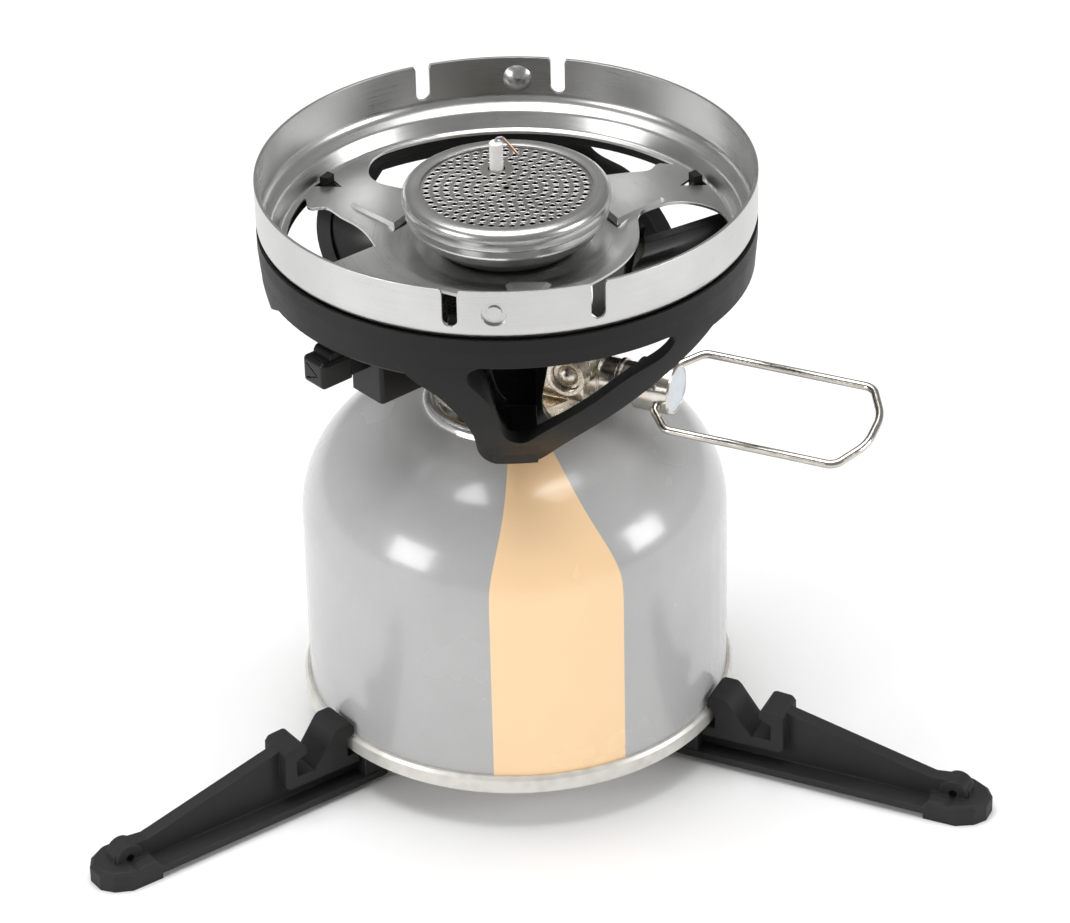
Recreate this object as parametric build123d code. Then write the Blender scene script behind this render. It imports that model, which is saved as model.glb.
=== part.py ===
from build123d import *
import math
import os

# Canister-top camping stove: a burner in a plastic base, a gas can, and a folding three-leg stand.
# Millimetres. The origin is on the floor under the can's axis, +Z is up, and +X runs along the
# valve, its knob and the leg that doesn't fold.

# ---- driving dimensions: gas can -------------------------------------------------------------
CAN_RADIUS = 44.0
CAN_WALL = 0.5
SEAM_RADIUS = 45.2
SEAM_BOTTOM = 8.7
SEAM_HEIGHT = 4.0
SHOULDER_HEIGHT = 51.0
CURL_RADIUS = 16.6
CURL_TUBE = 1.8
CURL_HEIGHT = 76.0
NIPPLE_RADIUS = 5.5
NIPPLE_TOP = 79.4
THREAD_PITCH = 0.907

# ---- driving dimensions: burner --------------------------------------------------------------
RING_RADIUS = 50.0
RING_TOP = 128.7
SHEET = 0.6
PLATE_HEIGHT = 114.2
OPENING_RADIUS = 44.3
HUB_HEIGHT = 112.8
BLANK_AZIMUTH = 300.0
SLOT_WIDTH = 3.0
SLOT_DEPTH = 7.9
SLOT_AZIMUTHS = (281.9, 314.9, 101.9, 134.9)
DIMPLE_AZIMUTHS = (291.7, 111.7)
DIMPLE_HEIGHT = 123.9
SPOKE_AZIMUTHS = (52.4, 172.4, 292.4)
RIB_OFFSETS = (-3.4, 5.2, 4.8)
FOOT_AZIMUTHS = (56.0, 176.0, 296.0)
HEAD_RADIUS = 20.9
FLAME_PLATE_HEIGHT = 124.4
TUBE_RADIUS = 6.0
ELECTRODE_RADIUS = 8.6
ELECTRODE_AZIMUTH = 127.5
CERAMIC_RADIUS = 1.4
CERAMIC_TOP = 130.4
PLATE_HOLE_RADIUS = 0.62
PLATE_HOLE_PITCH = 2.05
BASE_WALL = 3.2
BASE_LOWER_EDGE = 108.4
BASE_LEDGE = 111.6
BASE_TOP = 118.0
FOOT_BOTTOM = 82.4
COLUMN_RADIUS = 23.4

# ---- driving dimensions: valve, knob and handle ----------------------------------------------
VALVE_HEIGHT = 86.0
BONNET_START = 18.8
KNOB_START = 28.2
KNOB_END = 36.6
KNOB_RADIUS = 5.3
SPINDLE_RADIUS = 2.0
REGULATOR_X = 16.2
REGULATOR_HEIGHT = 89.2
HANDLE_PIVOT_X = 34.3
HANDLE_END_X = 78.5
HANDLE_HALF_WIDTH = 11.2
HANDLE_TILT = 15.0
WIRE_RADIUS = 0.85

# ---- driving dimensions: igniter -------------------------------------------------------------
IGNITER_AZIMUTH = 245.0
IGNITER_HEIGHT = 101.9
BUTTON_FACE = 50.4
LEAD_RADIUS = 0.7

# ---- driving dimensions: stand ---------------------------------------------------------------
LEG_AZIMUTHS = {"leg_front": 0.0, "leg_rear": 120.0, "leg_side": 240.0}
LEG_TIP = 105.4
PAD_HEIGHT = 4.2
FLANGE_BOTTOM = 1.2
FLANGE_TOP = 2.8
RAIL_TOP = 8.4
HOOK_HALF_WIDTH = 3.9
FIN_HALF_WIDTH = 1.5
PIVOT_RADIUS = 3.0
PAD_BOSS_X = 98.2
PAD_BOSS_HEIGHT = 4.8
HUB_RING_RADIUS = 9.0
HUB_RING_HEIGHT = 2.0
HUB_RING_GAP = 0.2
HUB_STACK_BOTTOM = 1.4

# ---- shared fits -----------------------------------------------------------------------------
FIT = 0.05
SCREW_CIRCLE = 13.0
SCREW_RADIUS = 1.1

os.makedirs("parts", exist_ok=True)


# ---- helpers ---------------------------------------------------------------------------------
def save(shape, node):
    shape.label = node
    export_step(shape, f"parts/{node}.step")


def turned(*edges):
    """A solid turned about Z from closed (radius, height) edges."""
    return revolve(Plane.XZ * make_face(edges), axis=Axis.Z)


def turned_points(points):
    """A solid turned about Z from a closed (radius, height) outline."""
    return turned(Polyline(*points, close=True))


def turned_sheet(points, radii, thickness):
    """Sheet metal turned about Z: the points are its upper or inner face, read downwards and inwards."""
    path = FilletPolyline(*points, radius=radii)
    outline = Wire(path.edges()).offset_2d(thickness, kind=Kind.INTERSECTION, side=Side.LEFT, closed=True)
    return revolve(Plane.XZ * make_face(outline.edges()), axis=Axis.Z)


def tube(outer, inner, bottom, top):
    """An upright tube round Z."""
    height = top - bottom
    wall = Cylinder(outer, height) - Cylinder(inner, height * 1.2)
    return Pos(0, 0, bottom + height / 2) * wall


def upright(radius, bottom, top):
    """An upright round bar on Z."""
    return Pos(0, 0, bottom + (top - bottom) / 2) * Cylinder(radius, top - bottom)


def at_azimuth(shape, azimuth):
    return Rot(0, 0, azimuth) * shape


def polar(radius, azimuth, height):
    angle = math.radians(azimuth)
    return (radius * math.cos(angle), radius * math.sin(angle), height)


def prism_up(points, bottom, top):
    """A prism with the given plan outline."""
    return extrude(Pos(0, 0, bottom) * make_face(Polyline(*points, close=True)), top - bottom)


def prism_side(points, half_width):
    """A prism with the given (radius, height) outline, centred on the XZ plane."""
    face = Plane.XZ * make_face(Polyline(*points, close=True))
    return extrude(face, half_width, both=True)


def radial_prism(outline, start, end):
    """A prism seen along +X: its outline is in (sideways, height), and it runs from start to end."""
    plane = Plane(origin=(start, 0, 0), x_dir=(0, 1, 0), z_dir=(1, 0, 0))
    return extrude(plane * make_face(outline), end - start)


def along_x(radius, start, end, height=VALVE_HEIGHT):
    """A round bar parallel to X."""
    return Pos((start + end) / 2, 0, height) * Rot(0, 90, 0) * Cylinder(radius, end - start)


def coil(radius, wire, bottom, top, turns):
    """A compression spring round Z."""
    path = Helix(pitch=(top - bottom - 2 * wire) / turns, height=top - bottom - 2 * wire, radius=radius)
    path = Pos(0, 0, bottom + wire) * path
    return sweep(Plane(origin=path @ 0, z_dir=path % 0) * Circle(wire), path=path)


# ---- gas can ---------------------------------------------------------------------------------
def make_can():
    shoulder_radius = CAN_RADIUS - CURL_RADIUS
    shoulder_rise = CURL_HEIGHT - SHOULDER_HEIGHT
    centre = (CURL_RADIUS, SHOULDER_HEIGHT)
    seam_top = SEAM_BOTTOM + SEAM_HEIGHT

    # the drawn cup: straight side, domed shoulder, open mouth under the curl
    outer = EllipticalCenterArc(centre, shoulder_radius, shoulder_rise, start_angle=0, arc_size=90)
    inner = EllipticalCenterArc(centre, shoulder_radius - CAN_WALL, shoulder_rise - CAN_WALL,
                                start_angle=0, arc_size=90)
    body = turned(
        Line((CAN_RADIUS, seam_top - 3.0), outer @ 0),
        outer,
        Line(outer @ 1, inner @ 1),
        inner,
        Line(inner @ 0, (CAN_RADIUS - CAN_WALL, seam_top - 3.0)),
        Line((CAN_RADIUS - CAN_WALL, seam_top - 3.0), (CAN_RADIUS, seam_top - 3.0)),
    )
    save(body, "can_body")

    # the base: a domed floor whose edge is rolled into the seam ring
    floor_edge = SEAM_BOTTOM + 3.2
    base = turned(
        Polyline((CAN_RADIUS - 1.0, SEAM_BOTTOM + 0.4), (CAN_RADIUS - 0.5, SEAM_BOTTOM),
                 (SEAM_RADIUS - 0.5, SEAM_BOTTOM), (SEAM_RADIUS, SEAM_BOTTOM + 0.5),
                 (SEAM_RADIUS, seam_top - 0.7), (SEAM_RADIUS - 0.5, seam_top),
                 (CAN_RADIUS + 0.02, seam_top), (CAN_RADIUS + 0.02, SEAM_BOTTOM + 0.6),
                 (CAN_RADIUS - CAN_WALL - 0.02, SEAM_BOTTOM + 0.6),
                 (CAN_RADIUS - CAN_WALL - 0.02, floor_edge + 0.8)),
        Spline((CAN_RADIUS - CAN_WALL - 0.02, floor_edge + 0.8), (24.0, floor_edge + 5.0),
               (0.0, floor_edge + 6.4), tangents=((-1, 0.35), (-1, 0))),
        Line((0.0, floor_edge + 6.4), (0.0, floor_edge + 5.9)),
        Spline((0.0, floor_edge + 5.9), (24.0, floor_edge + 4.5), (CAN_RADIUS - 1.0, floor_edge),
               tangents=((1, 0), (1, -0.35))),
        Line((CAN_RADIUS - 1.0, floor_edge), (CAN_RADIUS - 1.0, SEAM_BOTTOM + 0.4)),
    )
    save(base, "can_base")

    # the mounting cup: rolled curl, sunk floor, central pedestal with the thread
    curl = Pos(0, 0, CURL_HEIGHT) * Torus(CURL_RADIUS, CURL_TUBE)
    cup_floor = CURL_HEIGHT - 3.6
    cup = turned_points([
        (CURL_RADIUS - 0.6, CURL_HEIGHT + 0.6), (CURL_RADIUS - 1.6, CURL_HEIGHT + 0.6),
        (CURL_RADIUS - 2.0, cup_floor), (NIPPLE_RADIUS + 1.4, cup_floor - 0.4),
        (NIPPLE_RADIUS, cup_floor + 0.8), (NIPPLE_RADIUS, NIPPLE_TOP - 0.6),
        (NIPPLE_RADIUS - 0.6, NIPPLE_TOP), (1.9, NIPPLE_TOP), (1.9, NIPPLE_TOP - 1.0),
        (NIPPLE_RADIUS - 1.2, NIPPLE_TOP - 1.0), (NIPPLE_RADIUS - 1.2, cup_floor - 1.0),
        (CURL_RADIUS - 1.4, cup_floor - 0.6), (CURL_RADIUS - 0.6, CURL_HEIGHT - 1.2),
    ])
    cup = cup + curl
    cup = cup - thread_grooves(cup_floor + 2.2)
    cup = cup - body
    save(cup, "can_valve_cup")

    # the can's own valve, held in the pedestal
    housing_top = NIPPLE_TOP - 3.2
    housing = tube(NIPPLE_RADIUS - 1.3, 2.6, 60.0, housing_top)
    housing = housing + tube(2.6 + 0.01, 1.0, 60.0, 61.2)
    save(housing, "can_valve_housing")
    seal = tube(NIPPLE_RADIUS - 1.3, 1.25, housing_top + 0.05, NIPPLE_TOP - 1.05)
    save(seal, "can_valve_seal")
    stem = upright(1.2, housing_top - 1.0, NIPPLE_TOP - 0.4)
    stem = stem + upright(2.3, housing_top - 3.4, housing_top - 0.9)
    save(stem, "can_valve_stem")
    save(coil(1.75, 0.25, 61.3, housing_top - 3.5, 7), "can_valve_spring")


def thread_grooves(start):
    """The thread's grooves, cut as rings one pitch apart."""
    grooves = []
    height = start
    while height < NIPPLE_TOP - 0.9:
        grooves.append(Pos(0, 0, height) * Torus(NIPPLE_RADIUS + 0.08, 0.34))
        height += THREAD_PITCH
    return grooves


# ---- stand -----------------------------------------------------------------------------------
def make_leg(level):
    """One leg along +X; level is its hub ring's place in the stack, from 0 at the bottom."""
    ring_bottom = HUB_STACK_BOTTOM + level * (HUB_RING_HEIGHT + HUB_RING_GAP)
    ring_top = ring_bottom + HUB_RING_HEIGHT
    arm_end = 41.0
    arm_half = 5.2

    hub = Pos(0, 0, (ring_bottom + ring_top) / 2) * Cylinder(HUB_RING_RADIUS, HUB_RING_HEIGHT)
    arm = prism_up([(4, -arm_half), (arm_end, -arm_half), (arm_end, arm_half), (4, arm_half)],
                   ring_bottom, ring_top)
    block = prism_up([(37.6, -arm_half), (arm_end + 2, -arm_half), (arm_end + 2, arm_half), (37.6, arm_half)],
                     FLANGE_BOTTOM, RAIL_TOP)

    flange = prism_up([(38, -5.4), (94.5, -6.2), (94.5, 6.2), (38, 5.4)], FLANGE_BOTTOM, FLANGE_TOP)
    pad = prism_up([(93.2, -6.2), (100.2, -6.2), (103.6, -4.4), (LEG_TIP, -1.9), (LEG_TIP, 1.9),
                    (103.6, 4.4), (100.2, 6.2), (93.2, 6.2)], 0.0, PAD_HEIGHT)
    pad = chamfer(pad.edges().group_by(Axis.Z)[-1], 0.8)

    fin = prism_side([(40, FLANGE_TOP - 0.4), (40, RAIL_TOP - 0.4), (58.9, RAIL_TOP - 0.4), (59.6, 14.9),
                      (61.0, 14.9), (93.4, 7.2), (96.5, 7.6), (99.6, 7.4), (101.3, 5.9), (101.6, 3.0)],
                     FIN_HALF_WIDTH)
    boss_centre = Pos(PAD_BOSS_X, 0, PAD_BOSS_HEIGHT) * Rot(90, 0, 0)
    boss = boss_centre * Cylinder(3.0, 4.4)

    # the wide strip that makes both hooks and the rail between them
    strip = prism_side([(43.6, 6.2), (60.9, 6.2), (61.6, 7.0), (61.4, 14.6), (60.6, 15.6), (57.0, 15.8),
                        (56.2, 15.2), (56.2, 13.6), (58.8, 12.4), (58.8, 8.6), (54.6, RAIL_TOP),
                        (53.0, 10.4), (49.2, 15.7), (48.4, 16.3), (45.6, 16.3), (44.6, 15.4),
                        (44.6, 13.4), (45.6, 13.0), (46.4, 12.6), (46.4, RAIL_TOP), (43.6, RAIL_TOP)],
                       HOOK_HALF_WIDTH)
    strip = chamfer(strip.edges().filter_by(Axis.Y).filter_by(lambda e: e.center().Z > 15), 0.25)

    leg = hub + arm + block + flange + pad + fin + boss + strip
    leg = leg - boss_centre * Cylinder(0.9, 20)
    leg = leg - upright(PIVOT_RADIUS + FIT, -1, 20)
    return leg


def make_stand():
    for level, (node, azimuth) in enumerate(LEG_AZIMUTHS.items()):
        save(at_azimuth(make_leg(level), azimuth), node)
    stack_top = HUB_STACK_BOTTOM + 3 * HUB_RING_HEIGHT + 2 * HUB_RING_GAP
    rivet = upright(PIVOT_RADIUS, HUB_STACK_BOTTOM - 0.6, stack_top + 0.9)
    rivet = rivet + upright(5.2, HUB_STACK_BOTTOM - 1.2, HUB_STACK_BOTTOM - 0.05)
    save(rivet, "pivot_rivet")
    washer = tube(5.6, PIVOT_RADIUS + FIT, stack_top + 0.05, stack_top + 0.7)
    save(washer, "pivot_washer")
    cap = upright(5.0, stack_top + 0.95, stack_top + 1.9)
    cap = fillet(cap.edges().group_by(Axis.Z)[-1], 0.6)
    save(cap, "pivot_cap")


# ---- burner bowl and head --------------------------------------------------------------------
def plate_opening(azimuth):
    """One swept opening in the bowl's floor, ahead of the spoke at this azimuth."""
    rim = CenterArc((0, 0), OPENING_RADIUS, azimuth + 17.4, 78.0)
    back = [(43.0, 102.4), (40.4, 107.0), (38.0, 109.8), (34.3, 111.4), (31.0, 110.2), (27.8, 107.4)]
    inner = [(26.4, angle) for angle in (98.0, 84.0, 68.0, 53.0)]
    front = [(26.7, 41.0), (28.4, 29.0), (31.6, 21.4), (35.6, 16.4), (39.6, 13.6), (42.7, 13.8)]
    points = [polar(radius, azimuth + angle, 0)[:2] for radius, angle in back + inner + front]
    edge = Spline(rim @ 1, *points, rim @ 0, tangents=(rim % 1, rim % 0))
    return extrude(Pos(0, 0, PLATE_HEIGHT - 3) * make_face([rim, edge]), 6)


def make_bowl():
    """The pressed bowl: the wall that takes the pot, and a floor with three swept openings."""
    bowl = turned_sheet(
        [(RING_RADIUS - SHEET, RING_TOP), (RING_RADIUS - SHEET, 119.2), (46.9, 117.5), (45.4, PLATE_HEIGHT),
         (24.5, PLATE_HEIGHT), (18.5, HUB_HEIGHT), (TUBE_RADIUS + 0.3, HUB_HEIGHT)],
        [2.4, 1.4, 0.8, 4.0, 4.0], SHEET)

    bowl = at_azimuth(bowl, BLANK_AZIMUTH)
    for azimuth, rib_offset in zip(SPOKE_AZIMUTHS, RIB_OFFSETS):
        opening = plate_opening(azimuth)
        if azimuth == SPOKE_AZIMUTHS[1]:
            opening = opening - igniter_tab()
        bowl = bowl - opening
        clip_hole = prism_up([(39.8, 0), (44.6, -2.6), (44.9, 2.6)], PLATE_HEIGHT - 3, PLATE_HEIGHT + 2)
        bowl = bowl - at_azimuth(clip_hole, azimuth)
        bowl = bowl + at_azimuth(spoke_rib(rib_offset), azimuth)

    # slots in the wall, round at the bottom and flared at the mouth
    half = SLOT_WIDTH / 2
    slot_bottom = RING_TOP - SLOT_DEPTH + half
    slot_outline = Polyline((half, slot_bottom), (half, RING_TOP - 0.8), (half + 0.8, RING_TOP + 1),
                            (-half - 0.8, RING_TOP + 1), (-half, RING_TOP - 0.8), (-half, slot_bottom),
                            close=True)
    slot = radial_prism(slot_outline, RING_RADIUS - 3, RING_RADIUS + 3)
    slot = slot + Pos(RING_RADIUS, 0, slot_bottom) * Rot(0, 90, 0) * Cylinder(half, 6)
    for azimuth in SLOT_AZIMUTHS:
        bowl = bowl - at_azimuth(slot, azimuth)

    # dimples that hold the pot, dished on the outside
    dimple = Pos(RING_RADIUS - SHEET + 2.6, 0, DIMPLE_HEIGHT) * Sphere(4.0)
    dimple = dimple & Pos(RING_RADIUS - 3, 0, DIMPLE_HEIGHT) * Box(5.4, 8, 8)
    groove = Cylinder(2.5, 1.8) - Cylinder(1.5, 1.9)
    dish = Pos(RING_RADIUS + 0.2, 0, DIMPLE_HEIGHT) * Rot(0, 90, 0) * groove
    dish = dish + Pos(RING_RADIUS + 0.6, 0, DIMPLE_HEIGHT) * Rot(0, 90, 0) * Cylinder(1.7, 1.8)
    for azimuth in DIMPLE_AZIMUTHS:
        bowl = bowl + at_azimuth(dimple, azimuth)
        bowl = bowl - at_azimuth(dish, azimuth)

    electrode_hole = Pos(*polar(ELECTRODE_RADIUS, ELECTRODE_AZIMUTH, HUB_HEIGHT)) * Cylinder(1.9, 6)
    save(bowl - electrode_hole, "burner_bowl")


def spoke_rib(offset):
    """The tapering rib pressed up in a spoke, beside the spoke's middle line by this offset."""
    edge = Polyline((20.6, offset - 4.6), (33.0, offset - 1.5), (34.2, offset - 0.7), (34.2, offset + 0.7),
                    (33.0, offset + 1.5), (20.6, offset + 4.6), close=True)
    outline = make_face(edge)
    return extrude(Pos(0, 0, PLATE_HEIGHT - 0.3) * outline, 1.05, taper=38)


def igniter_tab():
    """The arm of floor that the igniter hangs from, across one opening."""
    plan = [(24, -12.0), (34, -11.4), (46, -13.0), (46, 10.5), (34, 8.5), (24, 8.0)]
    return at_azimuth(prism_up(plan, PLATE_HEIGHT - 4, PLATE_HEIGHT + 4), IGNITER_AZIMUTH - 5.0)


def make_head():
    """The burner head: cup, lip, flame plate, gas screen and mixing tube."""
    # the cup under the flame plate
    profile = [(20.0, 120.9), (19.9, 119.4), (18.2, 117.0), (13.8, 113.4), (TUBE_RADIUS + 0.3, 113.4)]
    cup = turned_sheet(profile, [1.0, 1.6, 2.4], 0.45)
    hole = Pos(*polar(ELECTRODE_RADIUS, ELECTRODE_AZIMUTH, 113)) * Cylinder(1.75, 4)
    save(cup - hole, "burner_cup")

    # the rolled lip that grips the flame plate
    lip = turned(
        Spline((20.5, 121.0), (20.75, 121.9), (HEAD_RADIUS, 123.3), (20.3, 124.6), (19.0, 125.1),
               (17.3, 124.95)),
        Polyline((17.3, 124.95), (17.3, 124.5), (18.95, 124.55), (19.9, 123.9), (20.25, 123.2),
                 (20.1, 122.2), (19.9, 121.0), (20.5, 121.0)),
    )
    save(lip, "burner_lip")

    # the flame plate: rings of small holes under the lip
    plate = Circle(18.85)
    electrode = Vector(*polar(ELECTRODE_RADIUS, ELECTRODE_AZIMUTH, 0))
    holes = []
    for row in range(1, 9):
        radius = row * 2.0
        count = round(2 * math.pi * radius / PLATE_HOLE_PITCH)
        for index in range(count):
            place = Vector(*polar(radius, 360 * index / count + 7 * row, 0))
            if (place - electrode).length > 2.6:
                holes.append(Pos(*place) * Circle(PLATE_HOLE_RADIUS))
    holes.append(Circle(PLATE_HOLE_RADIUS))
    holes.append(Pos(*electrode) * Circle(1.75))
    plate = plate - holes
    save(extrude(Pos(0, 0, FLAME_PLATE_HEIGHT - 0.5) * plate, 0.5), "flame_plate")

    # the coarse screen that spreads the gas under the flame plate
    screen = Circle(19.3) - [Pos(*electrode) * Circle(2.0)]
    coarse = []
    for radius, count in ((13.5, 18), (16.5, 24)):
        for index in range(count):
            coarse.append(Pos(*polar(radius, 360 * index / count, 0)) * Circle(0.9))
    screen = screen - coarse
    save(extrude(Pos(0, 0, 119.6) * screen, 0.4), "gas_screen")

    # mixing tube with four air holes, flared where the gas enters
    mixer = turned_points([(5.2, 101.4), (7.0, 101.4), (7.0, 102.2), (TUBE_RADIUS, 103.2), (TUBE_RADIUS, 112.0),
                           (TUBE_RADIUS + 0.9, 112.1), (TUBE_RADIUS, 112.2), (TUBE_RADIUS, 117.4),
                           (5.2, 117.4)])
    for azimuth in (0, 90):
        mixer = mixer - at_azimuth(Pos(0, 0, 105.6) * Rot(0, 90, 0) * Cylinder(1.8, 20), azimuth)
    save(mixer, "mixing_tube")


# ---- plastic base ----------------------------------------------------------------------------
def base_shell():
    """The bowl-shaped skin that the three feet are cut from."""
    outer = Spline((36.0, 81.5), (37.4, 85.0), (42.4, 91.0), (45.9, 96.4), (48.3, 103.3), (49.4, 108.2),
                   (49.75, 112.4))
    inner_points = []
    for step in range(9):
        along = outer % (step / 8)
        inner_points.append(outer @ (step / 8) + Vector(-along.Y, along.X) * BASE_WALL)
    inner = Spline(*inner_points)
    return turned(outer, Line(outer @ 1, inner @ 1), inner, Line(inner @ 0, outer @ 0))


def foot_outline():
    """Outside edge of one foot, looking at it from outside: (sideways, height)."""
    return [
        Spline((-23.6, 112.0), (-21.6, 109.2), (-18.6, 106.6), (-15.2, 104.3), (-12.6, 101.4),
               (-10.0, 97.6), (-8.4, 93.6), (-7.8, 89.0), (-6.9, 84.6), (-4.4, FOOT_BOTTOM)),
        Line((-4.4, FOOT_BOTTOM), (3.2, FOOT_BOTTOM)),
        Spline((3.2, FOOT_BOTTOM), (6.2, 84.3), (12.0, 90.8), (18.4, 95.8), (25.4, 100.2),
               (32.0, 104.2), (38.0, 108.0), (42.6, 112.0)),
        Line((42.6, 112.0), (-23.6, 112.0)),
    ]


def foot_window():
    """The opening between the two bands of one foot."""
    return [
        Spline((-8.2, 111.2), (-9.4, 109.0), (-7.6, 106.2), (-5.2, 103.0), (-3.6, 98.6), (-2.6, 94.0),
               (-0.8, 91.2), (1.2, 90.4), (3.6, 92.4), (9.6, 97.4), (16.6, 102.0), (24.0, 106.2),
               (30.6, 109.4), (31.2, 111.0), (29.6, 111.8)),
        Line((29.6, 111.8), (-7.0, 111.8)),
        Line((-7.0, 111.8), (-8.2, 111.2)),
    ]


def pocket_side():
    """Edge-on outline of the curved wall that closes the left side of the foot's pocket."""
    near = [(-10.0, 109.8), (-9.9, 108.8), (-8.4, 106.3), (-5.9, 103.1), (-4.4, 98.6), (-3.4, 94.0),
            (-1.6, 90.9)]
    far = [(-3.2, 88.9), (-5.6, 92.8), (-6.7, 98.2), (-8.3, 102.2), (-10.8, 105.4), (-12.3, 107.9),
           (-12.5, 109.8)]
    return [Spline(*near), Line(near[-1], far[0]), Spline(*far), Line(far[-1], near[0])]


def foot_column():
    """The concave inner wall of a foot, flared at its top and bottom."""
    right = Spline((9.4, 111.9), (7.4, 102.0), (6.3, 95.6), (5.6, 91.4), (5.9, 88.0), (7.4, 85.4))
    left = Spline((-5.4, 85.4), (-4.8, 91.4), (-5.6, 97.0), (-7.0, 103.0), (-8.6, 108.0), (-9.6, 111.9))
    sides = [right, Line(right @ 1, left @ 0), left, Line(left @ 1, right @ 0)]
    column = radial_prism(sides, COLUMN_RADIUS, COLUMN_RADIUS + 3.2)
    return column - Pos(COLUMN_RADIUS + 12.0, 0, 98) * Cylinder(9.8, 40)


def make_base():
    # the ring under the bowl, with its skirt and its ledge, and the hub in the middle
    ring = turned_points([(44.6, BASE_LEDGE), (46.4, BASE_LEDGE), (46.4, BASE_LOWER_EDGE + 0.4),
                          (46.9, BASE_LOWER_EDGE), (49.1, BASE_LOWER_EDGE), (49.5, BASE_LOWER_EDGE + 0.5),
                          (50.0, 115.0), (50.0, BASE_TOP), (49.2, BASE_TOP), (47.4, 116.2), (46.3, 113.5),
                          (44.6, 113.5)])
    hub = tube(16.5, 8.4, 107.6, 112.0)
    base = at_azimuth(ring + hub, BLANK_AZIMUTH - 100.0)

    # the parts of one foot: its outer skin with a window, and the walls behind it inside the core
    core = turned_points([(COLUMN_RADIUS, 81.0), (36.0, 81.5), (37.4, 85.0), (41.6, 90.2), (45.0, 96.0),
                          (47.4, 103.0), (48.5, 108.2), (48.8, 112.0), (COLUMN_RADIUS, 112.0)])
    core = at_azimuth(core, 180)
    skin = base_shell()
    window = radial_prism(foot_window(), COLUMN_RADIUS + 3.5, 60)
    foot = skin & radial_prism(foot_outline(), 20, 60)
    sole = prism_side([(COLUMN_RADIUS, 85.4), (34.0, FOOT_BOTTOM), (46.0, FOOT_BOTTOM), (46.0, 89.6),
                       (COLUMN_RADIUS + 3, 89.6), (COLUMN_RADIUS, 88.4)], 4.3) & core
    pocket = radial_prism(pocket_side(), COLUMN_RADIUS + 1.0, 60) & core
    arm_start = 14.5
    arm_end = COLUMN_RADIUS + 2
    arm = prism_up([(arm_start, -7.0), (arm_end, -7.0), (arm_end, 7.0), (arm_start, 7.0)], 108.6, 111.9)
    rib = prism_side([(arm_end - 1, 98.0), (arm_end - 1, 109.0), (arm_start, 109.0), (arm_start, 107.8)], 1.2)

    # the peg that clips into each spoke's hole
    peg = prism_up([(42.4, -1.1), (46.0, -1.8), (46.0, 1.8), (42.4, 1.1)], BASE_LEDGE + 0.2, 113.0)
    peg = peg + prism_up([(42.4, -1.1), (44.2, -1.5), (44.2, 1.5), (42.4, 1.1)], 112.8, 116.0)
    for azimuth, spoke in zip(FOOT_AZIMUTHS, SPOKE_AZIMUTHS):
        base = base - at_azimuth(window, azimuth)
        base = base + at_azimuth(peg, spoke)
        for piece in (foot_column(), sole, foot - window, pocket, arm, rib):
            base = base + at_azimuth(piece, azimuth)

    # posts that the valve body is screwed to
    for azimuth in FOOT_AZIMUTHS:
        post = Pos(*polar(SCREW_CIRCLE, azimuth, 103.9)) * Cylinder(2.9, 7.8)
        pilot = Pos(*polar(SCREW_CIRCLE, azimuth, 104.0)) * Cylinder(SCREW_RADIUS + FIT, 9.0)
        base = base + post
        base = base - pilot
    base = base - Pos(*polar(ELECTRODE_RADIUS, ELECTRODE_AZIMUTH, 110)) * Cylinder(2.6, 8)
    save(base, "base_frame")

    screws = []
    for azimuth in FOOT_AZIMUTHS:
        shank = Pos(0, 0, 100.8) * Cylinder(SCREW_RADIUS, 9.6)
        socket = Pos(0, 0, 94.4) * extrude(RegularPolygon(1.1, 6), 1.0)
        head = Pos(0, 0, 95.2) * Cylinder(2.3, 1.6) - socket
        screws.append(Pos(*polar(SCREW_CIRCLE, azimuth, 0)) * (shank + head))
    save(Compound(screws), "base_screws")


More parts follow.
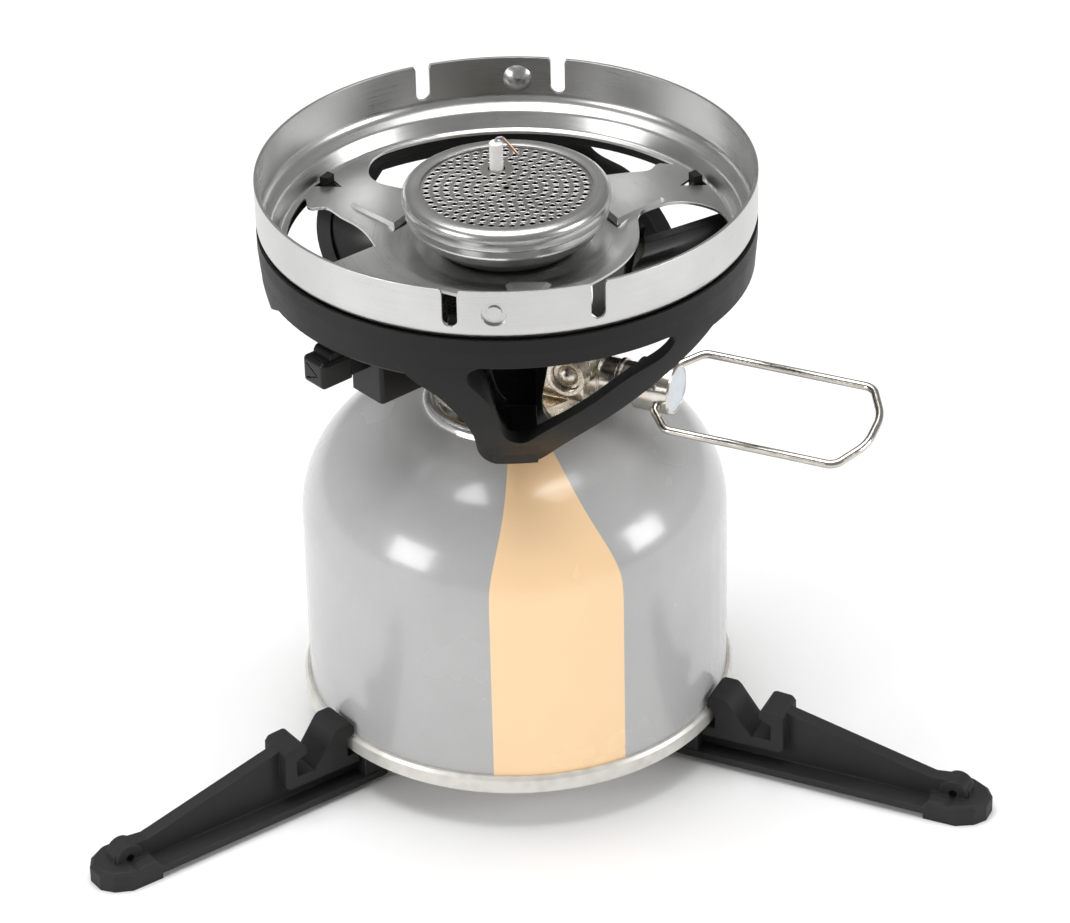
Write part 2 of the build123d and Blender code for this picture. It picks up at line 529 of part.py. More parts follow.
# ---- valve, knob and handle ------------------------------------------------------------------
def make_valve():
    # cast body: round base flange, block round the valve bore, neck and top flange
    block = Pos(4.45, 0, 87.6) * Box(28.7, 13.6, 12.6)
    block = fillet(block.edges().filter_by(Axis.X), 3.4)
    block = fillet(block.edges().filter_by(GeomType.LINE).filter_by(Axis.Y), 0.6)
    body = block + upright(16.3, 79.6, 81.9) + upright(8.4, 81.8, 97.2) + upright(16.6, 96.0, 100.0)
    body = body + across(REGULATOR_X, -7.6, REGULATOR_HEIGHT) * Cylinder(4.1, 3.4)
    # bores: spindle, can side, jet side, regulator pocket, screw holes
    body = body - along_x(3.1, 3.0, 30.0) - along_x(1.0, -1.0, 3.5)
    body = body - upright(1.1, 79.0, 84.0) - upright(1.1, 86.0, 97.0) - upright(2.4, 96.8, 101.0)
    body = body - across(REGULATOR_X, -7.75, REGULATOR_HEIGHT) * Cylinder(3.2, 3.6)
    body = body - upright(4.6, 79.0, 80.4)
    for azimuth in FOOT_AZIMUTHS:
        body = body - Pos(*polar(SCREW_CIRCLE, azimuth, 98)) * Cylinder(1.4, 6)
        body = body - Pos(*polar(SCREW_CIRCLE, azimuth, 92.6)) * Cylinder(2.6, 7.0)
    save(body, "valve_body")

    # pressure regulator behind its domed cap
    cap = across(REGULATOR_X, -7.5, REGULATOR_HEIGHT) * Cylinder(3.1, 0.8)
    dome = across(REGULATOR_X, -6.6, REGULATOR_HEIGHT) * Sphere(2.6)
    cap = cap + (dome & Pos(REGULATOR_X, -8.7, REGULATOR_HEIGHT) * Box(8, 2.0, 8))
    save(cap, "regulator_cap")
    save(across(REGULATOR_X, -6.85, REGULATOR_HEIGHT) * Cylinder(3.1, 0.4), "regulator_diaphragm")

    # bonnet: collar and neck screwed into the block, round the spindle
    bonnet = along_x(3.05, 12.0, BONNET_START) + along_x(4.7, BONNET_START, 20.8)
    bonnet = bonnet + along_x(3.9, 20.6, KNOB_START - 0.5) + along_x(4.3, 24.4, 25.2)
    bonnet = bonnet - along_x(SPINDLE_RADIUS + FIT, 10.0, 40.0)
    save(bonnet, "valve_bonnet")

    # spindle with its needle, and the seal in its groove
    spindle = along_x(SPINDLE_RADIUS, 6.4, KNOB_END - 1.6)
    cone = Pos(5.3, 0, VALVE_HEIGHT) * Rot(0, -90, 0) * Cone(SPINDLE_RADIUS, 0.5, 2.2)
    groove = along_x(SPINDLE_RADIUS + 1, 9.0, 10.4) - along_x(1.5, 8.0, 11.0)
    save(spindle + cone - groove - handle_hole(), "valve_spindle")
    ring = Pos(9.7, 0, VALVE_HEIGHT) * Rot(0, 90, 0) * Torus(2.25, 0.65)
    save(ring, "spindle_seal")


def across(x, y, height):
    """A place whose bars lie parallel to Y."""
    return Pos(x, y, height) * Rot(90, 0, 0)


def handle_hole():
    """The hole through knob and spindle that the handle's wire ends turn in."""
    return Pos(HANDLE_PIVOT_X, 0, VALVE_HEIGHT) * Rot(HANDLE_TILT - 90, 0, 0) * Cylinder(WIRE_RADIUS + 0.1, 20)


def make_knob():
    knob = along_x(KNOB_RADIUS, KNOB_START, KNOB_END)
    knob = chamfer(knob.edges().filter_by(GeomType.CIRCLE), 0.35)
    knob = knob - along_x(KNOB_RADIUS - 0.7, KNOB_END - 0.7, KNOB_END + 1)
    knob = knob - along_x(SPINDLE_RADIUS, KNOB_START - 1, KNOB_END - 1.6)
    knob = knob - handle_hole()
    knob = knob - Pos(33.2, -4.6, VALVE_HEIGHT + 2.6) * Rot(60, 0, 0) * Cylinder(0.75, 3.0)
    save(knob, "knob")
    save(along_x(KNOB_RADIUS - 0.72, KNOB_END - 0.68, KNOB_END - 0.1), "knob_cap")

    # folding wire handle: one bent wire whose ends sit in the knob's cross hole
    side = HANDLE_HALF_WIDTH
    half = [(HANDLE_PIVOT_X, 2.6), (HANDLE_PIVOT_X, 6.8), (38.3, side), (HANDLE_END_X - 4.2, side),
            (HANDLE_END_X, 4.0)]
    route = half + [(x, -y) for x, y in reversed(half)]
    path = FilletPolyline(*route, radius=[1.6, 2.8, 3.0, 9.0, 9.0, 3.0, 2.8, 1.6])
    wire = sweep(Plane(origin=path @ 0, z_dir=path % 0) * Circle(WIRE_RADIUS), path=path)
    wire = Pos(0, 0, VALVE_HEIGHT) * Rot(HANDLE_TILT, 0, 0) * wire
    save(wire, "handle_wire")


def make_gas_path():
    """The jet, the can coupling, its seal and the pin that opens the can's valve."""
    jet = upright(2.35, 96.9, 100.1) + Pos(0, 0, 100.1) * extrude(RegularPolygon(2.9, 6), 1.1)
    jet = jet - upright(0.8, 96.0, 100.9) - upright(0.2, 100.0, 103.0)
    save(jet, "jet_nozzle")
    coupling = tube(12.0, NIPPLE_RADIUS + FIT, 75.0, 79.5)
    coupling = chamfer(coupling.edges().group_by(Axis.Z)[0].sort_by(SortBy.LENGTH)[-1], 0.6)
    save(coupling, "can_coupling")
    save(tube(4.5, 3.2, NIPPLE_TOP + 0.05, 80.35), "coupling_seal")
    pin = upright(0.9, NIPPLE_TOP - 0.3, 83.8)
    save(pin, "plunger_pin")


def make_igniter():
    housing = Pos(32.4, 1.6, IGNITER_HEIGHT) * Box(12.4, 9.6, 18.4)
    housing = fillet(housing.edges().filter_by(Axis.Z), 0.8)
    housing = housing + Pos(31.0, 0.6, 112.2) * Box(7.0, 7.0, 2.6)
    housing = housing - Pos(36.5, 0, IGNITER_HEIGHT) * Box(12.6, 5.1, 5.1)
    save(at_azimuth(housing, IGNITER_AZIMUTH), "igniter_housing")

    button = Pos(BUTTON_FACE - 3.6, 0, IGNITER_HEIGHT) * Box(7.2, 6.4, 5.9)
    button = fillet(button.edges().group_by(Axis.X)[-1] + button.edges().filter_by(Axis.X), 0.9)
    button = button + Pos(BUTTON_FACE - 3.9, 0, IGNITER_HEIGHT + 2.9) * Rot(90, 0, 0) * Cylinder(1.5, 5.2)
    stem = Pos(39.8, 0, IGNITER_HEIGHT) * Box(8.8, 4.9, 4.9)
    chevron = make_face(Polyline((-1.9, -1.9), (0.2, 1.9), (1.9, -1.9), (1.4, -1.9), (0.2, 1.0),
                                 (-1.4, -1.9), close=True))
    arrow = Pos(BUTTON_FACE, 0, IGNITER_HEIGHT) * Rot(0, 90, 0) * extrude(chevron, 0.3, both=True)
    button = button + stem - arrow
    save(at_azimuth(button, IGNITER_AZIMUTH), "igniter_button")
    spring = Pos(30.3, 0, IGNITER_HEIGHT) * Rot(0, 90, 0) * coil(1.7, 0.25, 0.0, 5.0, 5)
    save(at_azimuth(spring, IGNITER_AZIMUTH), "igniter_spring")


def make_electrode():
    # ceramic electrode and its wire, bent over towards the flame plate
    place = polar(ELECTRODE_RADIUS, ELECTRODE_AZIMUTH, 0)
    ceramic = upright(CERAMIC_RADIUS, 107.0, CERAMIC_TOP)
    ceramic = chamfer(ceramic.edges().group_by(Axis.Z)[-1], 0.3) + upright(2.4, 109.6, 111.4)
    ceramic = ceramic - upright(0.35, 106.0, 132.0)
    save(Pos(*place) * ceramic, "electrode_insulator")
    bend = CERAMIC_TOP + 0.8
    path = FilletPolyline((0, 0, 105.8), (0, 0, bend), (1.4, 0, bend), (4.4, 0, bend - 4.0), radius=[0.6, 0.6])
    wire = sweep(Plane(origin=path @ 0, z_dir=path % 0) * Circle(0.3), path=path)
    save(Pos(*place) * Rot(0, 0, 30) * wire, "electrode_wire")

    # insulated lead from the igniter round the mixing tube to the foot of the electrode
    route = [polar(26.0, 245.0, 104.0), polar(16.0, 240.0, 104.2), polar(9.0, 215.0, 103.8),
             polar(8.4, 170.0, 103.8), (place[0], place[1], 103.4), (place[0], place[1], 105.7)]
    path = FilletPolyline(*route, radius=[4.0, 3.0, 3.0, 1.0])
    lead = sweep(Plane(origin=path @ 0, z_dir=path % 0) * Circle(LEAD_RADIUS), path=path)
    save(lead, "ignition_lead")


make_can()
make_stand()
make_bowl()
make_head()
make_base()
make_valve()
make_knob()
make_gas_path()
make_igniter()
make_electrode()
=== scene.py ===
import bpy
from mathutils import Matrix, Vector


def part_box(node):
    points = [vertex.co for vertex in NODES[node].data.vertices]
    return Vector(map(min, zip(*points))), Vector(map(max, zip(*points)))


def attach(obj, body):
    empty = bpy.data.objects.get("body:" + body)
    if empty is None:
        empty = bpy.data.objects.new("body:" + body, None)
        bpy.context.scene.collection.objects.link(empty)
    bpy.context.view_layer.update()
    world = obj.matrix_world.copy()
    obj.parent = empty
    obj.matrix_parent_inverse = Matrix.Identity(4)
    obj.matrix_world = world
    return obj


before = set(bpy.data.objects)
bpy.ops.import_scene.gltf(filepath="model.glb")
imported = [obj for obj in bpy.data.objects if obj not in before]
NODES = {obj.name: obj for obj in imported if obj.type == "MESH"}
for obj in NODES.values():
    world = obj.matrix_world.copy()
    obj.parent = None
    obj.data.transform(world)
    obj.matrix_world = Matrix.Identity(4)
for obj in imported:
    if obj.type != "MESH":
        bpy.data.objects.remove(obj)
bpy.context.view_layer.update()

import math

import bpy
from mathutils import Matrix, Vector

MM = 0.001
DEGREE = math.pi / 180

# the flame plate's rings of holes, spaced as they are in the plate itself
HOLE_ROWS = 8
HOLE_ROW_STEP = 2.0 * MM
HOLE_PITCH = 2.05 * MM
HOLE_ROW_TWIST = 7 * DEGREE
ELECTRODE_CLEARANCE = 2.6 * MM
RIM_SEGMENTS = 14


# ---- camera -----------------------------------------------------------------------------------
def place_camera():
    """The view: from 25 degrees round from -Y towards +X, 31 degrees up, with a long lens."""
    azimuth = 25.1 * DEGREE
    elevation = 31.487 * DEGREE
    yaw = -0.2812 * DEGREE
    pitch = -0.0832 * DEGREE
    roll = 1.5226 * DEGREE
    distance = 0.900
    target = Vector((0, 0, 0.062))

    forward = Vector((0, math.cos(elevation), -math.sin(elevation)))
    up = Vector((0, math.sin(elevation), math.cos(elevation)))
    right = Vector((1, 0, 0))
    place = target - forward * distance
    turn = Matrix.Rotation(yaw, 3, up)
    forward, right = turn @ forward, turn @ right
    turn = Matrix.Rotation(pitch, 3, right)
    forward, up = turn @ forward, turn @ up
    turn = Matrix.Rotation(roll, 3, forward)
    right, up = turn @ right, turn @ up

    axes = Matrix((right, up, -forward)).transposed().to_4x4()
    data = bpy.data.cameras.new("camera")
    data.sensor_width = 36.0
    data.lens = 146.98
    data.clip_start = 0.01
    camera = bpy.data.objects.new("camera", data)
    bpy.context.scene.collection.objects.link(camera)
    camera.matrix_world = Matrix.Rotation(azimuth, 4, "Z") @ Matrix.Translation(place) @ axes
    bpy.context.scene.camera = camera


# ---- node helpers -----------------------------------------------------------------------------
class Shader:
    """Short calls for building a material's nodes."""

    def __init__(self, name, color, metallic=0.0, roughness=0.5):
        self.material = bpy.data.materials.new(name)
        self.material.use_nodes = True
        self.tree = self.material.node_tree
        self.bsdf = self.tree.nodes["Principled BSDF"]
        self.bsdf.inputs["Base Color"].default_value = (*color, 1.0)
        self.bsdf.inputs["Metallic"].default_value = metallic
        self.bsdf.inputs["Roughness"].default_value = roughness
        self.position = self.add("ShaderNodeTexCoord").outputs["Object"]

    def add(self, kind, **settings):
        node = self.tree.nodes.new(kind)
        for key, value in settings.items():
            setattr(node, key, value)
        return node

    def feed(self, socket, value):
        if isinstance(value, bpy.types.NodeSocket):
            self.tree.links.new(value, socket)
        else:
            socket.default_value = value

    def calc(self, operation, first, second=0.0):
        node = self.add("ShaderNodeMath", operation=operation)
        for socket, value in zip(node.inputs, (first, second)):
            self.feed(socket, value)
        return node.outputs[0]

    def split(self):
        """The place as x, y, z and radius sockets."""
        axes = self.add("ShaderNodeSeparateXYZ")
        self.feed(axes.inputs[0], self.position)
        x, y, z = axes.outputs
        squares = self.calc("ADD", self.calc("MULTIPLY", x, x), self.calc("MULTIPLY", y, y))
        return x, y, z, self.calc("SQRT", squares)

    def vector(self, x, y, z):
        node = self.add("ShaderNodeCombineXYZ")
        for socket, value in zip(node.inputs, (x, y, z)):
            self.feed(socket, value)
        return node.outputs[0]

    def noise(self, scale, detail=3.0, roughness=0.55, place=None):
        node = self.add("ShaderNodeTexNoise")
        self.feed(node.inputs["Vector"], self.position if place is None else place)
        node.inputs["Scale"].default_value = scale
        node.inputs["Detail"].default_value = detail
        node.inputs["Roughness"].default_value = roughness
        return node.outputs["Fac"]

    def span(self, value, low, high, start, end, smooth=False):
        """Maps low..high to start..end and clamps there."""
        node = self.add("ShaderNodeMapRange")
        if smooth:
            node.interpolation_type = "SMOOTHSTEP"
        for socket, number in zip(node.inputs, (value, low, high, start, end)):
            self.feed(socket, number)
        return node.outputs[0]

    def mix(self, factor, first, second):
        node = self.add("ShaderNodeMix", data_type="RGBA")
        self.feed(node.inputs["Factor"], factor)
        for name, value in (("A", first), ("B", second)):
            socket = [s for s in node.inputs if s.name == name and s.type == "RGBA"][0]
            self.feed(socket, (*value, 1.0) if isinstance(value, tuple) else value)
        return [s for s in node.outputs if s.type == "RGBA"][0]

    def bump(self, height, distance, strength=1.0, normal=None):
        node = self.add("ShaderNodeBump")
        node.inputs["Distance"].default_value = distance
        node.inputs["Strength"].default_value = strength
        self.feed(node.inputs["Height"], height)
        if normal is not None:
            self.feed(node.inputs["Normal"], normal)
        return node.outputs[0]

    def rounded(self, radius):
        """The normal with its edges rounded to this radius."""
        node = self.add("ShaderNodeBevel", samples=6)
        node.inputs["Radius"].default_value = radius
        return node.outputs[0]

    def edges(self, radius):
        """1 on sharp edges, 0 on open surfaces."""
        bent = self.rounded(radius)
        true = self.add("ShaderNodeNewGeometry").outputs["Normal"]
        product = self.add("ShaderNodeVectorMath", operation="DOT_PRODUCT")
        self.feed(product.inputs[0], bent)
        self.feed(product.inputs[1], true)
        return self.span(product.outputs["Value"], 0.97, 0.80, 0.0, 1.0)

    def set(self, **sockets):
        for name, value in sockets.items():
            self.feed(self.bsdf.inputs[name.replace("_", " ")], value)
        return self


# ---- materials --------------------------------------------------------------------------------
def brushed_steel(name, light, dark, rough=(0.24, 0.36), relief=0.0000014, ring=5200.0, turned=True,
                  corner=None, painted_shade_below=None):
    """Sheet steel with fine lines, smudges and small nicks, and painted shade, near black, under the given
    height.
    """
    s = Shader(name, light, metallic=1.0)
    x, y, z, radius = s.split()
    if turned:
        lines = s.noise(1.0, 5.0, 0.7, s.vector(s.calc("MULTIPLY", radius, ring), s.calc("MULTIPLY", z, ring),
                                               s.calc("MULTIPLY", s.calc("ADD", x, y), 30.0)))
    else:
        lines = s.noise(1.0, 5.0, 0.7, s.vector(s.calc("MULTIPLY", x, 160.0), s.calc("MULTIPLY", y, ring),
                                               s.calc("MULTIPLY", z, ring)))
    smudge = s.noise(60.0, 4.0, 0.6)
    specks = s.noise(1400.0, 2.0, 0.6)
    tone = s.calc("ADD", s.calc("MULTIPLY", lines, 0.45), s.calc("MULTIPLY", smudge, 0.55))
    color = s.mix(s.span(tone, 0.36, 0.64, 0.0, 1.0), dark, light)
    gloss = s.calc("ADD", s.calc("MULTIPLY", lines, 0.6), s.calc("MULTIPLY", smudge, 0.4))
    height = s.calc("ADD", lines, s.calc("MULTIPLY", s.span(specks, 0.70, 0.78, 0.0, 1.0), 0.6))
    normal = s.bump(height, relief, normal=s.rounded(corner) if corner else None)
    s.set(Base_Color=color, Roughness=s.span(gloss, 0.3, 0.7, *rough), Normal=normal)
    if painted_shade_below is not None:
        # painted shade: below the given height (hole bores, the plate's underside) the steel goes near black
        darkening = s.span(z, painted_shade_below - 0.25 * MM, painted_shade_below, 1.0, 0.0)
        s.set(Base_Color=s.mix(darkening, color, (0.012, 0.011, 0.010)))
    return s.material


def moulded_plastic(name, color, wear, rough=(0.42, 0.60), grain=0.000018, corner=0.00030, inner_gloss_and_shade=False):
    """Dark moulded plastic: spark-eroded grain, softened corners, lighter rubbed edges."""
    s = Shader(name, color)
    grain_noise = s.noise(3800.0, 2.0, 0.6)
    cloud = s.noise(70.0, 3.0, 0.6)
    edge = s.edges(corner)
    rub = s.calc("MULTIPLY", edge, s.span(s.noise(240.0, 3.0, 0.6), 0.42, 0.62, 0.15, 0.8))
    darker = tuple(c * 0.85 for c in color)
    lighter = tuple(c * 1.15 for c in color)
    tone = s.mix(s.span(cloud, 0.3, 0.7, 0.0, 1.0), darker, lighter)
    roughness = s.span(s.calc("ADD", s.calc("MULTIPLY", grain_noise, 0.4), s.calc("MULTIPLY", cloud, 0.6)),
                       0.35, 0.65, *rough)
    if inner_gloss_and_shade:
        radius = s.split()[3]
        polished = s.span(radius, 0.034, 0.040, 0.30, 1.0)
        roughness = s.calc("MULTIPLY", roughness, polished)
        # painted shade: inside 34-40 mm radius (the inner column in its pocket) the tone is darkened towards
        # near black; the lower roughness there is real gloss
        tone = s.mix(s.span(radius, 0.034, 0.040, 0.7, 0.0), tone, (0.006, 0.006, 0.006))
    s.set(Base_Color=s.mix(rub, tone, wear), Roughness=roughness,
          Normal=s.bump(grain_noise, grain, normal=s.rounded(corner)))
    s.bsdf.inputs["Specular IOR Level"].default_value = 0.24
    return s.material


def cast_nickel():
    """Nickel plate over a sandy casting."""
    s = Shader("nickel_casting", (0.62, 0.56, 0.47), metallic=1.0)
    sand = s.noise(1900.0, 3.0, 0.6)
    pits = s.noise(620.0, 2.0, 0.6)
    tint = s.noise(110.0, 3.0, 0.6)
    color = s.mix(s.span(tint, 0.35, 0.65, 0.0, 1.0), (0.50, 0.43, 0.33), (0.72, 0.67, 0.59))
    color = s.mix(s.calc("MULTIPLY", s.edges(0.0003), 0.5), color, (0.85, 0.82, 0.76))
    height = s.calc("ADD", sand, s.calc("MULTIPLY", s.span(pits, 0.30, 0.42, -0.8, 0.0), 1.0))
    s.set(Base_Color=color, Roughness=s.span(sand, 0.35, 0.65, 0.20, 0.42),
          Normal=s.bump(height, 0.00002, normal=s.rounded(0.0003)))
    return s.material


def turned_metal(name, dark, light, rough=(0.14, 0.30), pitch=5200.0):
    """Bar metal turned on a lathe along X, plated or bare."""
    s = Shader(name, light, metallic=1.0)
    x, y, z = s.split()[:3]
    lines = s.noise(1.0, 3.0, 0.7, s.vector(s.calc("MULTIPLY", x, pitch), s.calc("MULTIPLY", y, 90.0),
                                            s.calc("MULTIPLY", z, 90.0)))
    tarnish = s.noise(170.0, 3.0, 0.6)
    color = s.mix(s.span(tarnish, 0.35, 0.65, 0.0, 1.0), dark, light)
    s.set(Base_Color=color, Roughness=s.span(s.calc("ADD", s.calc("MULTIPLY", lines, 0.5),
                                                     s.calc("MULTIPLY", tarnish, 0.5)), 0.35, 0.65, *rough),
          Normal=s.bump(lines, 0.000008, normal=s.rounded(0.00022)))
    return s.material


def wire_steel():
    """Bright drawn wire, with scuffs."""
    s = Shader("drawn_wire", (0.66, 0.63, 0.58), metallic=1.0)
    scuff = s.noise(900.0, 3.0, 0.65)
    patch = s.noise(120.0, 3.0, 0.6)
    color = s.mix(s.span(patch, 0.35, 0.65, 0.0, 1.0), (0.48, 0.455, 0.415), (0.64, 0.615, 0.57))
    s.set(Base_Color=color, Roughness=s.span(scuff, 0.35, 0.7, 0.16, 0.28), Normal=s.bump(scuff, 0.000003))
    return s.material


def can_lacquer():
    """Glossy grey lacquer with one warm stripe that narrows over the shoulder."""
    grey = (0.440, 0.440, 0.440)
    stripe_color = (0.990, 0.690, 0.400)
    s = Shader("can_lacquer", grey, roughness=0.16)
    x, y, z = s.split()[:3]
    azimuth = s.calc("MULTIPLY", s.calc("ARCTAN2", y, x), 180.0 / math.pi)
    narrowing = s.span(z, 0.055, 0.076, 0.0, 1.0, smooth=True)
    left = s.calc("ADD", s.calc("MULTIPLY", narrowing, 4.5), -72.3)
    right = s.calc("ADD", s.calc("MULTIPLY", narrowing, -8.0), -36.0)
    soft = 0.10
    inside = s.calc("MULTIPLY", s.span(s.calc("SUBTRACT", azimuth, left), -soft, soft, 0.0, 1.0),
                    s.span(s.calc("SUBTRACT", right, azimuth), -soft, soft, 0.0, 1.0))
    cloud = s.noise(38.0, 3.0, 0.6)
    flake = s.noise(2600.0, 2.0, 0.6)
    base = s.mix(s.span(s.calc("ADD", s.calc("MULTIPLY", cloud, 0.7), s.calc("MULTIPLY", flake, 0.3)),
                        0.35, 0.65, 0.0, 1.0), tuple(c * 0.94 for c in grey), tuple(c * 1.06 for c in grey))
    warm = s.mix(s.span(cloud, 0.35, 0.65, 0.0, 1.0), tuple(c * 0.97 for c in stripe_color), stripe_color)
    s.set(Base_Color=s.mix(inside, base, warm), Roughness=s.span(cloud, 0.35, 0.65, 0.20, 0.28),
          Normal=s.bump(s.noise(420.0, 2.0, 0.5), 0.000004))
    s.bsdf.inputs["Coat Weight"].default_value = 0.5
    s.bsdf.inputs["Coat Roughness"].default_value = 0.13
    return s.material


def tinplate(name, dark, light, rough, metallic=0.85):
    """Lacquered tinplate with faint spangle."""
    s = Shader(name, light, metallic=metallic)
    cells = s.add("ShaderNodeTexVoronoi")
    s.feed(cells.inputs["Vector"], s.position)
    cells.inputs["Scale"].default_value = 420.0
    cloud = s.noise(90.0, 3.0, 0.6)
    tone = s.calc("ADD", s.calc("MULTIPLY", cells.outputs["Distance"], 0.5), s.calc("MULTIPLY", cloud, 0.5))
    s.set(Base_Color=s.mix(s.span(tone, 0.2, 0.6, 0.0, 1.0), dark, light),
          Roughness=s.span(cloud, 0.35, 0.65, *rough),
          Normal=s.bump(cloud, 0.00001, normal=s.rounded(0.0002)))
    return s.material


def ceramic():
    """Glazed white ceramic, slightly sooted near the flame."""
    white = (0.92, 0.915, 0.90)
    s = Shader("glazed_ceramic", white, roughness=0.22)
    height = s.split()[2]
    smoke = s.span(s.noise(700.0, 4.0, 0.6), 0.4, 0.6, 0.2, 1.0)
    darkening = s.calc("MULTIPLY", s.span(height, 0.1245, 0.1258, 0.4, 0.0), smoke)
    tint = s.mix(s.span(s.noise(500.0, 3.0, 0.6), 0.4, 0.7, 0.0, 1.0), white, (0.86, 0.84, 0.80))
    s.set(Base_Color=s.mix(darkening, tint, (0.30, 0.25, 0.20)),
          Roughness=s.span(s.noise(900.0), 0.3, 0.7, 0.16, 0.34), Normal=s.bump(s.noise(1500.0), 0.00001))
    s.bsdf.inputs["Subsurface Weight"].default_value = 0.15
    s.bsdf.inputs["Subsurface Scale"].default_value = 0.0006
    return s.material


def hot_wire():
    """Electrode wire with straw and blue heat colours."""
    s = Shader("hot_wire", (0.5, 0.36, 0.28), metallic=1.0)
    band = s.noise(800.0, 3.0, 0.6)
    color = s.mix(s.span(band, 0.35, 0.65, 0.0, 1.0), (0.55, 0.34, 0.20), (0.38, 0.36, 0.44))
    s.set(Base_Color=color, Roughness=s.span(band, 0.3, 0.7, 0.25, 0.5), Normal=s.bump(band, 0.00001))
    return s.material


def rubber(name, color):
    s = Shader(name, color, roughness=0.6)
    grain = s.noise(2600.0, 3.0, 0.6)
    bloom = s.noise(260.0, 3.0, 0.6)
    s.set(Base_Color=s.mix(s.span(bloom, 0.35, 0.7, 0.0, 1.0), color, tuple(c * 1.7 + 0.004 for c in color)),
          Roughness=s.span(bloom, 0.3, 0.7, 0.48, 0.72), Normal=s.bump(grain, 0.00002))
    return s.material


def pale_plastic():
    s = Shader("pale_plastic", (0.82, 0.82, 0.79), roughness=0.45)
    cloud = s.noise(300.0, 3.0, 0.6)
    s.set(Base_Color=s.mix(s.span(cloud, 0.35, 0.65, 0.0, 1.0), (0.74, 0.73, 0.69), (0.84, 0.84, 0.82)),
          Roughness=s.span(cloud, 0.3, 0.7, 0.38, 0.52), Normal=s.bump(s.noise(2400.0), 0.00001))
    return s.material


def satin_inset():
    """The knob's satin end disc."""
    s = Shader("satin_inset", (0.62, 0.66, 0.70), metallic=0.35)
    cloud = s.noise(420.0, 3.0, 0.6)
    lines = s.noise(2600.0, 3.0, 0.7)
    s.set(Base_Color=s.mix(s.span(cloud, 0.35, 0.65, 0.0, 1.0), (0.57, 0.61, 0.65), (0.63, 0.67, 0.71)),
          Roughness=s.span(lines, 0.35, 0.65, 0.34, 0.44), Normal=s.bump(lines, 0.000002))
    return s.material


def dress_nodes():
    plate_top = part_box("flame_plate")[1].z
    steel = brushed_steel("brushed_steel", (0.61, 0.61, 0.60), (0.52, 0.52, 0.51), corner=0.00018)
    # painted shade: the perforated plate goes near black below its top face, in the hole bores and underneath
    perforated = brushed_steel("perforated_steel", (0.60, 0.59, 0.57), (0.46, 0.45, 0.43), rough=(0.26, 0.40),
                               painted_shade_below=plate_top + 0.03 * MM)
    # near-black steel for the gas screen under the flame plate
    near_black_screen = brushed_steel("near_black_screen_steel", (0.05, 0.045, 0.04), (0.02, 0.018, 0.016), rough=(0.55, 0.75))
    base_plastic = moulded_plastic("base_plastic", (0.008, 0.008, 0.008), (0.030, 0.030, 0.029),
                                   inner_gloss_and_shade=True)
    stand_plastic = moulded_plastic("stand_plastic", (0.021, 0.021, 0.021), (0.055, 0.055, 0.055),
                                    rough=(0.50, 0.68), corner=0.0005)
    igniter_plastic = moulded_plastic("igniter_plastic", (0.010, 0.010, 0.010), (0.06, 0.06, 0.06),
                                      rough=(0.28, 0.42))
    nickel = cast_nickel()
    plated = turned_metal("plated_bar", (0.56, 0.52, 0.46), (0.74, 0.71, 0.66))
    brass = turned_metal("brass", (0.55, 0.38, 0.15), (0.78, 0.60, 0.30), rough=(0.22, 0.40))
    dark_steel = brushed_steel("black_oxide_steel", (0.10, 0.10, 0.10), (0.05, 0.05, 0.05),
                               rough=(0.35, 0.55))
    spring = brushed_steel("spring_steel", (0.60, 0.60, 0.60), (0.42, 0.42, 0.42), turned=False)
    seal = rubber("seal_rubber", (0.018, 0.018, 0.018))
    lead = rubber("lead_sleeve", (0.030, 0.028, 0.026))
    pale = pale_plastic()
    looks = {
        "can_body": can_lacquer(),
        "can_base": tinplate("seam_tinplate", (0.60, 0.585, 0.54), (0.72, 0.705, 0.66), (0.34, 0.46), 0.35),
        "can_valve_cup": tinplate("cup_tinplate", (0.62, 0.62, 0.62), (0.80, 0.80, 0.80), (0.20, 0.32)),
        "can_valve_housing": pale, "can_valve_stem": pale, "can_valve_seal": seal, "can_valve_spring": spring,
        "leg_front": stand_plastic, "leg_rear": stand_plastic, "leg_side": stand_plastic,
        "pivot_rivet": dark_steel, "pivot_washer": dark_steel, "pivot_cap": dark_steel,
        "burner_bowl": steel, "burner_cup": steel, "burner_lip": steel, "mixing_tube": steel,
        "flame_plate": perforated, "gas_screen": near_black_screen,
        "base_frame": base_plastic, "base_screws": dark_steel,
        "valve_body": nickel, "regulator_cap": nickel, "regulator_diaphragm": seal,
        "valve_bonnet": plated, "knob": plated, "knob_cap": satin_inset(), "handle_wire": wire_steel(),
        "valve_spindle": brass, "spindle_seal": seal, "jet_nozzle": brass, "can_coupling": brass,
        "coupling_seal": seal, "plunger_pin": brass,
        "igniter_housing": igniter_plastic, "igniter_button": igniter_plastic, "igniter_spring": spring,
        "electrode_insulator": ceramic(), "electrode_wire": hot_wire(), "ignition_lead": lead,
    }
    for node, material in looks.items():
        for slot in NODES[node].material_slots:
            slot.material = material
    return looks


# ---- added pieces -----------------------------------------------------------------------------
def new_piece(name, verts, faces, material, body):
    mesh = bpy.data.meshes.new(name)
    mesh.from_pydata(verts, [], faces)
    mesh.update()
    mesh.polygons.foreach_set("use_smooth", [True] * len(mesh.polygons))
    mesh.materials.append(material)
    piece = bpy.data.objects.new(name, mesh)
    bpy.context.scene.collection.objects.link(piece)
    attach(piece, body)


def lathed(profile, segments, place):
    """Verts and faces of a closed (radius, height) profile turned about an upright axis through place."""
    verts, faces = [], []
    rows = len(profile)
    for index in range(segments):
        angle = 2 * math.pi * index / segments
        for radius, height in profile:
            verts.append((place[0] + radius * math.cos(angle), place[1] + radius * math.sin(angle),
                          place[2] + height))
    for index in range(segments):
        following = (index + 1) % segments
        for row in range(rows):
            above = (row + 1) % rows
            faces.append((index * rows + row, following * rows + row,
                          following * rows + above, index * rows + above))
    return verts, faces


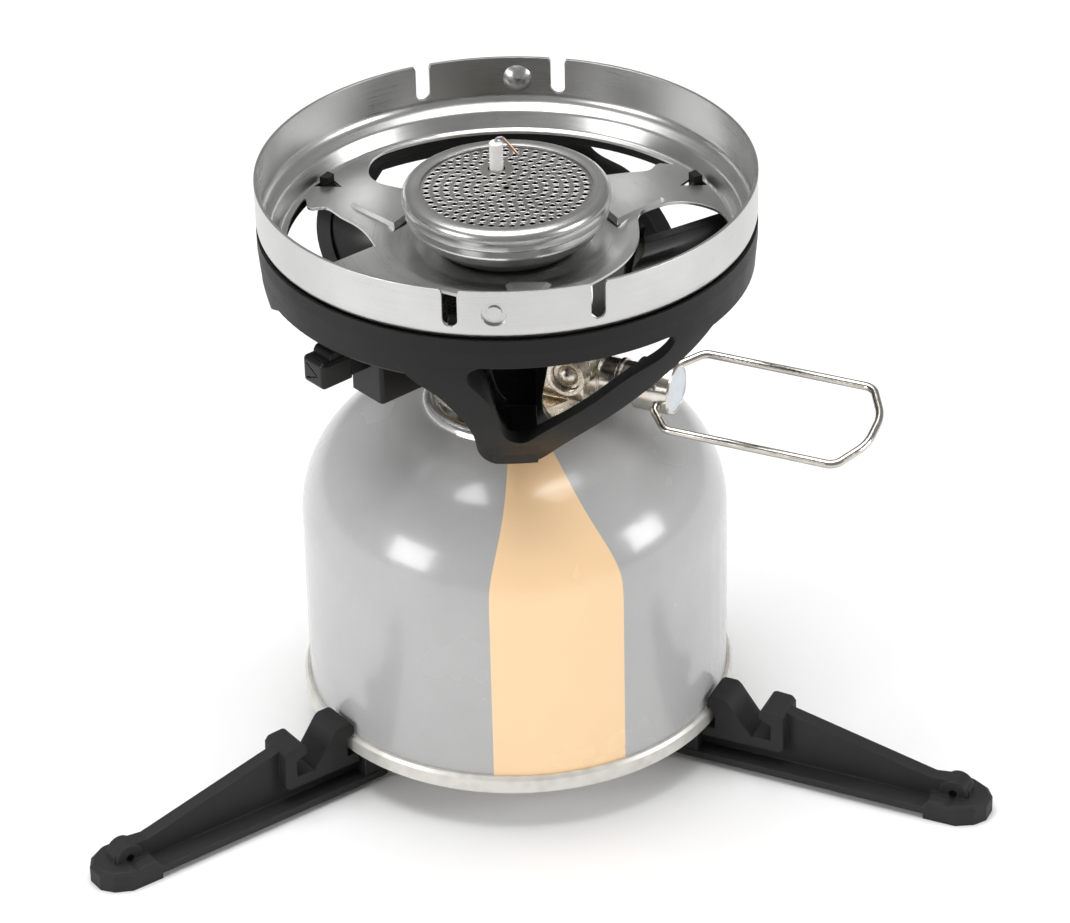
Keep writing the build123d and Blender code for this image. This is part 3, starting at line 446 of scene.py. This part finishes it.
def make_plate_rims(material):
    """The raised rims that punching leaves round the flame plate's holes."""
    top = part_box("flame_plate")[1].z
    low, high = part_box("electrode_insulator")
    electrode = Vector(((low.x + high.x) / 2, (low.y + high.y) / 2))
    profile = [(0.96, 0.00), (0.86, 0.08), (0.76, 0.13), (0.68, 0.10), (0.61, 0.00), (0.61, -0.46),
               (0.68, -0.46), (0.68, -0.10)]
    profile = [(radius * MM, height * MM) for radius, height in profile]
    verts, faces = [], []
    for row in range(1, HOLE_ROWS + 1):
        radius = row * HOLE_ROW_STEP
        count = round(2 * math.pi * radius / HOLE_PITCH)
        for index in range(count):
            angle = 2 * math.pi * index / count + HOLE_ROW_TWIST * row
            place = Vector((radius * math.cos(angle), radius * math.sin(angle)))
            if (place - electrode).length > ELECTRODE_CLEARANCE:
                start = len(verts)
                ring_verts, ring_faces = lathed(profile, RIM_SEGMENTS, (place.x, place.y, top))
                verts += ring_verts
                faces += [tuple(start + corner for corner in face) for face in ring_faces]
    new_piece("flame_plate_rims", verts, faces, material, "burner")


# ---- floor, lights ----------------------------------------------------------------------------
def make_floor():
    s = Shader("floor_paper", (0.93, 0.93, 0.93), roughness=0.9)
    mottle = s.noise(14.0, 3.0, 0.5)
    s.set(Base_Color=s.mix(s.span(mottle, 0.3, 0.7, 0.0, 1.0), (0.92, 0.92, 0.92), (0.94, 0.94, 0.94)))
    mesh = bpy.data.meshes.new("floor")
    half = 6.0
    corners = [(-half, -half, 0), (half, -half, 0), (half, half, 0), (-half, half, 0)]
    mesh.from_pydata(corners, [], [(0, 1, 2, 3)])
    mesh.materials.append(s.material)
    floor = bpy.data.objects.new("floor", mesh)
    bpy.context.scene.collection.objects.link(floor)


def softbox(name, azimuth, elevation, distance, width, height, power):
    """A rectangular light that faces the stove from this direction."""
    data = bpy.data.lights.new(name, "AREA")
    data.shape = "RECTANGLE"
    data.size, data.size_y = width, height
    data.energy = power
    lamp = bpy.data.objects.new(name, data)
    bpy.context.scene.collection.objects.link(lamp)
    around, rise = azimuth * DEGREE, elevation * DEGREE
    outward = Vector((math.cos(around) * math.cos(rise), math.sin(around) * math.cos(rise), math.sin(rise)))
    lamp.location = Vector((0, 0, 0.07)) + outward * distance
    lamp.rotation_euler = outward.to_track_quat("Z", "Y").to_euler()


def make_lights():
    softbox("left_softbox", -122.0, 14.0, 1.1, 0.44, 0.40, 5.5)
    softbox("right_softbox", 8.0, 16.0, 1.1, 0.40, 0.40, 5.0)
    softbox("top_softbox", 150.0, 80.0, 1.2, 1.0, 0.8, 10.5)
    softbox("front_softbox", -65.0, 86.0, 1.3, 1.0, 0.5, 4.0)
    world = bpy.data.worlds.new("studio")
    world.use_nodes = True
    background = world.node_tree.nodes["Background"]
    background.inputs["Color"].default_value = (1.0, 1.0, 1.0, 1.0)
    background.inputs["Strength"].default_value = 0.30
    bpy.context.scene.world = world
    bpy.context.scene.view_settings.view_transform = "Standard"


place_camera()
make_floor()
make_lights()
looks = dress_nodes()
make_plate_rims(looks["flame_plate"])
